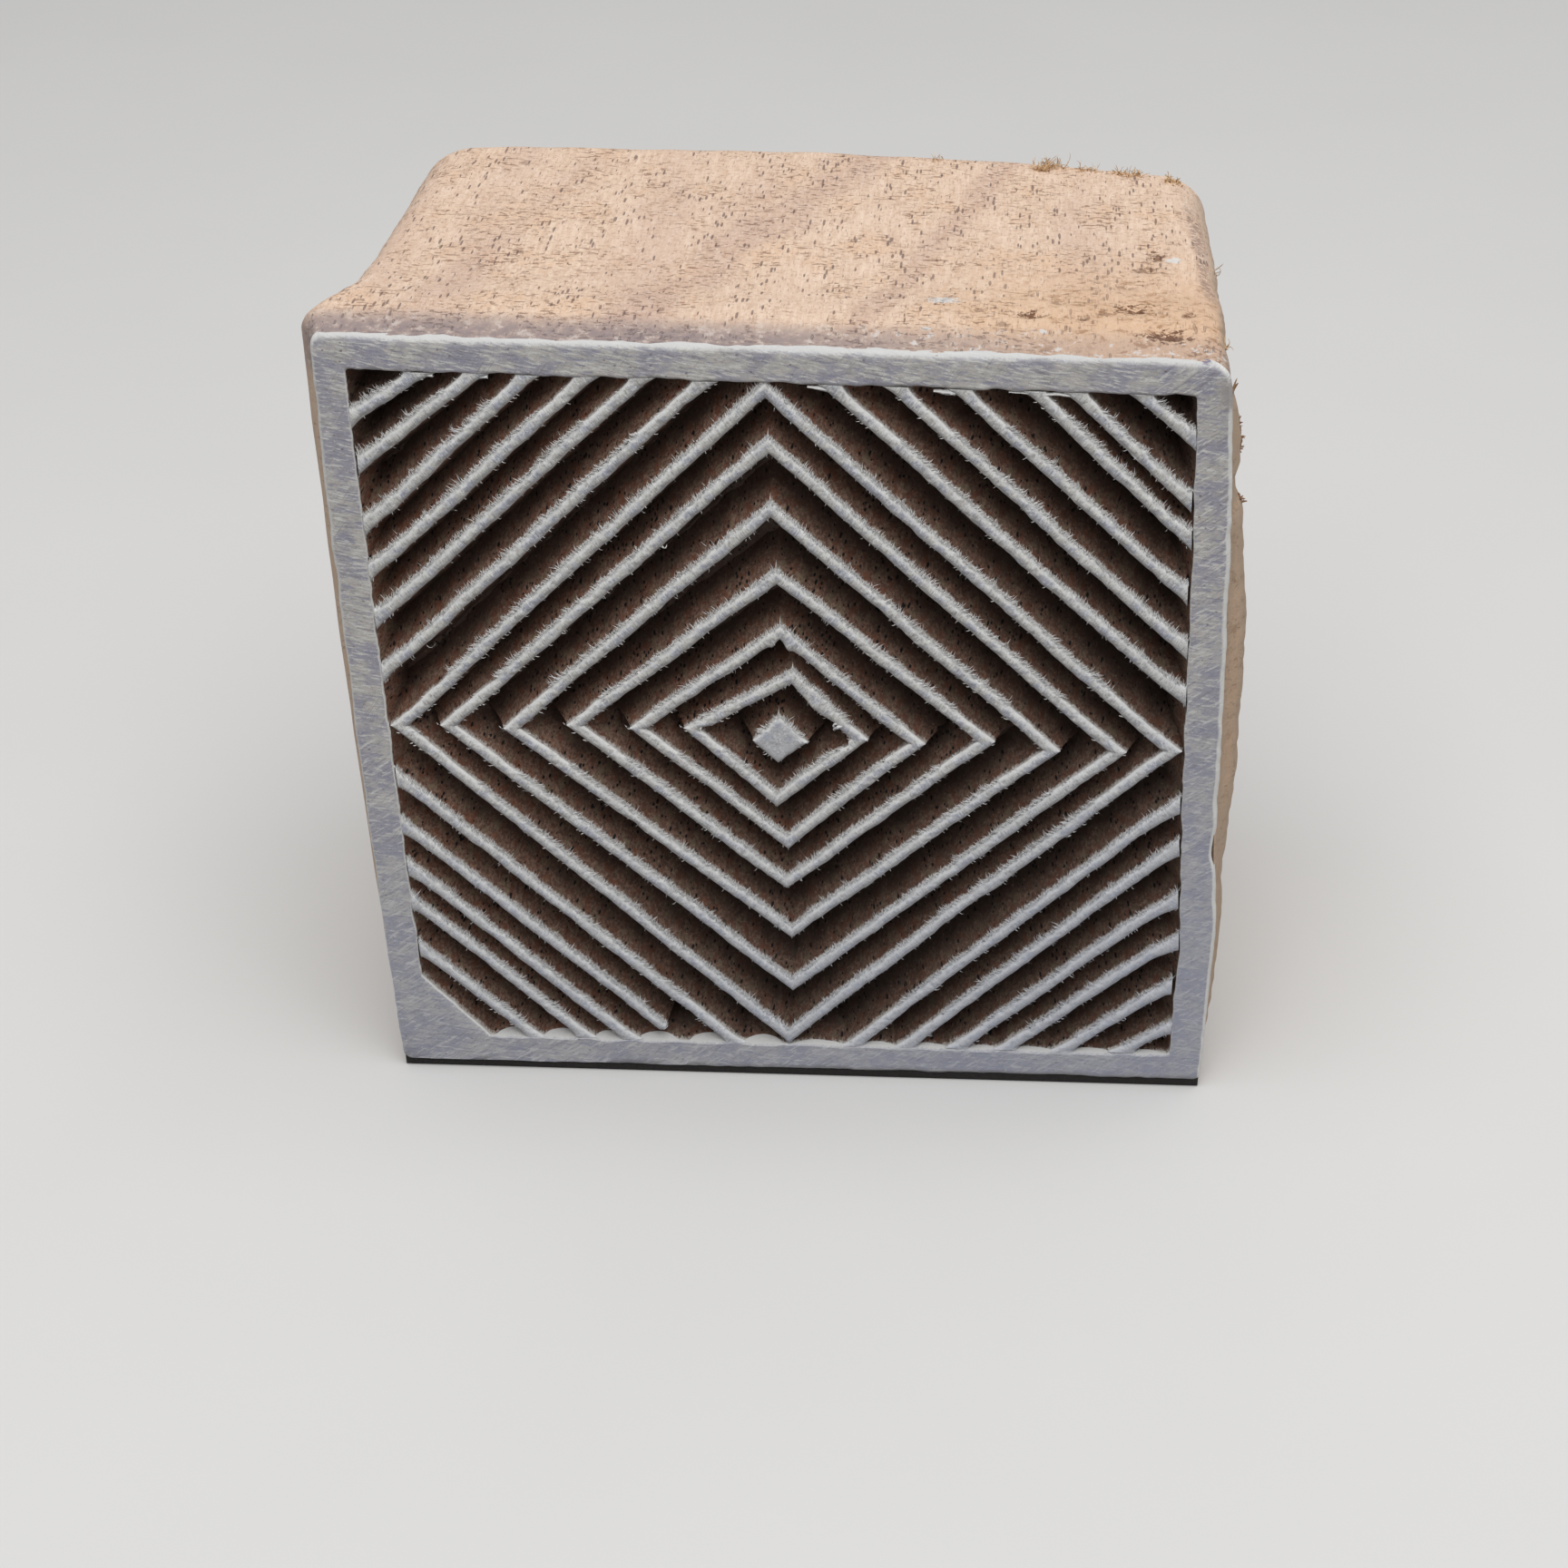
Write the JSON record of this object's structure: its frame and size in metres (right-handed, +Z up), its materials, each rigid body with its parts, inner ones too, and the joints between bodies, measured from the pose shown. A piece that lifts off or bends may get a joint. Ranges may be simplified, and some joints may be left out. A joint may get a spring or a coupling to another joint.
{
  "type": "textile printing block",
  "caption": "Hand-carved wooden textile printing block: a square face of nested diamonds and corner lines in raised relief, on a thick waisted grip cut from the same timber.",
  "frame": {"origin": "on the underside that the block stands on, half way from the printing face to the back, under the middle of the face", "axes": "+Z up, printing face toward -Y, +X to the right as seen from the printing face"},
  "size_m": [0.0665, 0.0406, 0.0663],
  "materials": {
    "wood": "bare rasped hardwood, dark oiled grooves",
    "chalk_coat": "matt chalky ground with lilac stains and fine scratches"
  },
  "bodies": {
    "root": {"wood_block": "wood", "border_coat": "chalk_coat", "centre_diamond_coat": "chalk_coat", "diamond_1_coat": "chalk_coat", "diamond_2_coat": "chalk_coat", "diamond_3_coat": "chalk_coat", "diamond_4_coat": "chalk_coat", "diamond_5_coat": "chalk_coat", "diamond_6_coat": "chalk_coat", "upper_left_line_1_coat": "chalk_coat", "upper_left_line_2_coat": "chalk_coat", "upper_left_line_3_coat": "chalk_coat", "upper_left_line_4_coat": "chalk_coat", "upper_left_line_5_coat": "chalk_coat", "upper_left_line_6_coat": "chalk_coat", "upper_right_line_1_coat": "chalk_coat", "upper_right_line_2_coat": "chalk_coat", "upper_right_line_3_coat": "chalk_coat", "upper_right_line_4_coat": "chalk_coat", "upper_right_line_5_coat": "chalk_coat", "upper_right_line_6_coat": "chalk_coat", "lower_left_line_1_coat": "chalk_coat", "lower_left_line_2_coat": "chalk_coat", "lower_left_line_3_coat": "chalk_coat", "lower_left_line_4_coat": "chalk_coat", "lower_left_line_5_coat": "chalk_coat", "lower_right_line_1_coat": "chalk_coat", "lower_right_line_2_coat": "chalk_coat", "lower_right_line_3_coat": "chalk_coat", "lower_right_line_4_coat": "chalk_coat", "lower_right_line_5_coat": "chalk_coat", "lower_right_line_6_coat": "chalk_coat"}
  },
  "joints": []
}
